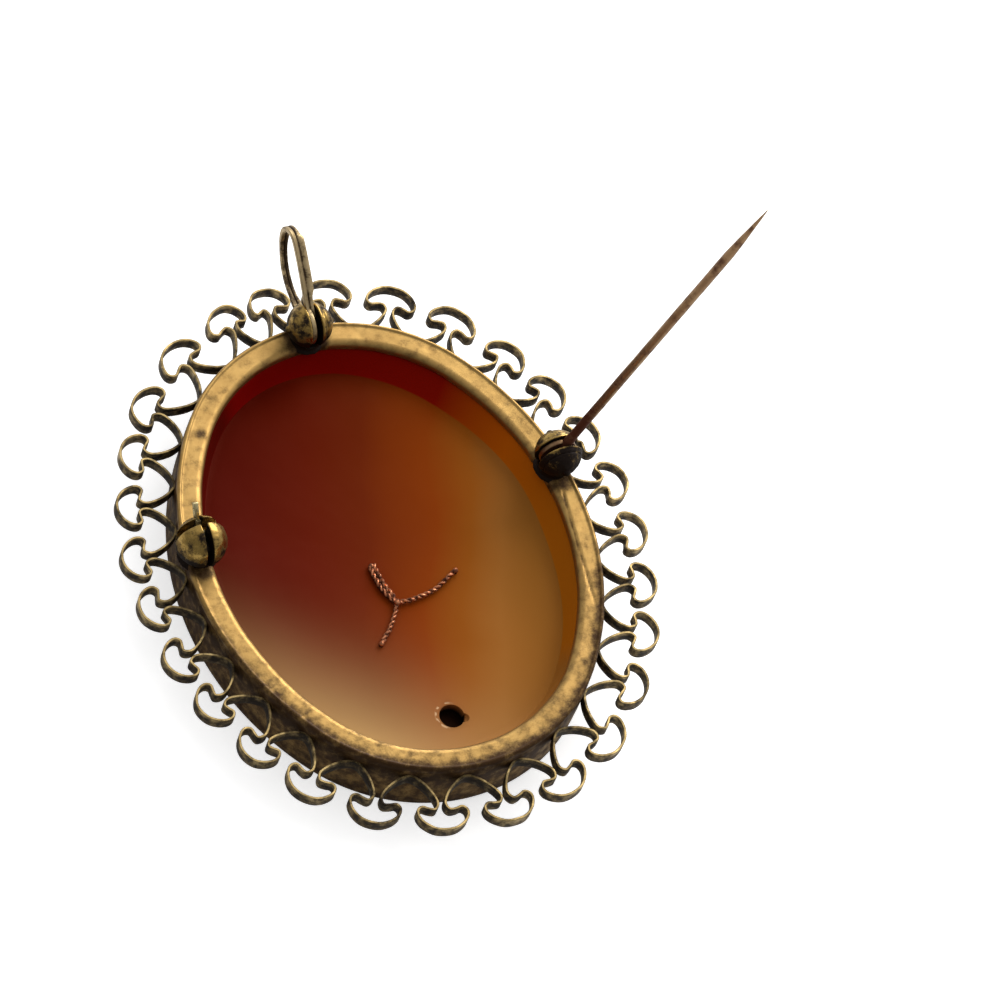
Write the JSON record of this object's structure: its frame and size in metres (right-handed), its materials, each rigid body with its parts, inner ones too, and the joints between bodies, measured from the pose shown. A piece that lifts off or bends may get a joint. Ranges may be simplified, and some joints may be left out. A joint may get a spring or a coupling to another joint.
{
  "type": "cameo brooch",
  "caption": "Oval cameo brooch with a carved shell, a pierced scroll frame, a long hinged pin wire, a ball catch with a turning ring, and a folding bail loop.",
  "frame": {"origin": "middle of the oval, on the plane of the front rim that it lies on", "axes": "+X towards the pin's joint, +Y towards the bail at the top of the brooch, +Z out of its back"},
  "size_m": [0.0476, 0.0536, 0.0408],
  "materials": {
    "gilt_frame": "worn gilt, tarnished olive brown in the recesses",
    "shell": "polished, amber brown with a cream carved layer in front",
    "pin_metal": "drawn wire, olive brown and reddish near its joint",
    "bail_metal": "worn pale gilt strip",
    "catch_metal": "worn pale gilt",
    "tie_wire": "copper coloured twisted wire"
  },
  "bodies": {
    "frame": {"setting": "gilt_frame", "cameo": "shell", "wire_tie": "tie_wire"},
    "pin": {"pin_stem": "pin_metal"},
    "bail": {"bail": "bail_metal"},
    "catch_ring": {"catch_ring": "catch_metal"}
  },
  "joints": [
    {"name": "pin_hinge", "type": "hinge", "parent": "frame", "child": "pin", "pos_m": [0.01583, 0.00344, 0.0077], "axis": [-0.0129, -0.9999, 0], "range_deg": [-14, 106.4]},
    {"name": "bail_hinge", "type": "hinge", "parent": "frame", "child": "bail", "pos_m": [0, 0.02007, 0.0077], "axis": [1, 0, 0], "range_deg": [-14, 148]},
    {"name": "catch_turn", "type": "hinge", "parent": "frame", "child": "catch_ring", "pos_m": [-0.01589, 0.00385, 0.0077], "axis": [1, 0, 0], "range_deg": [0, 75]}
  ]
}
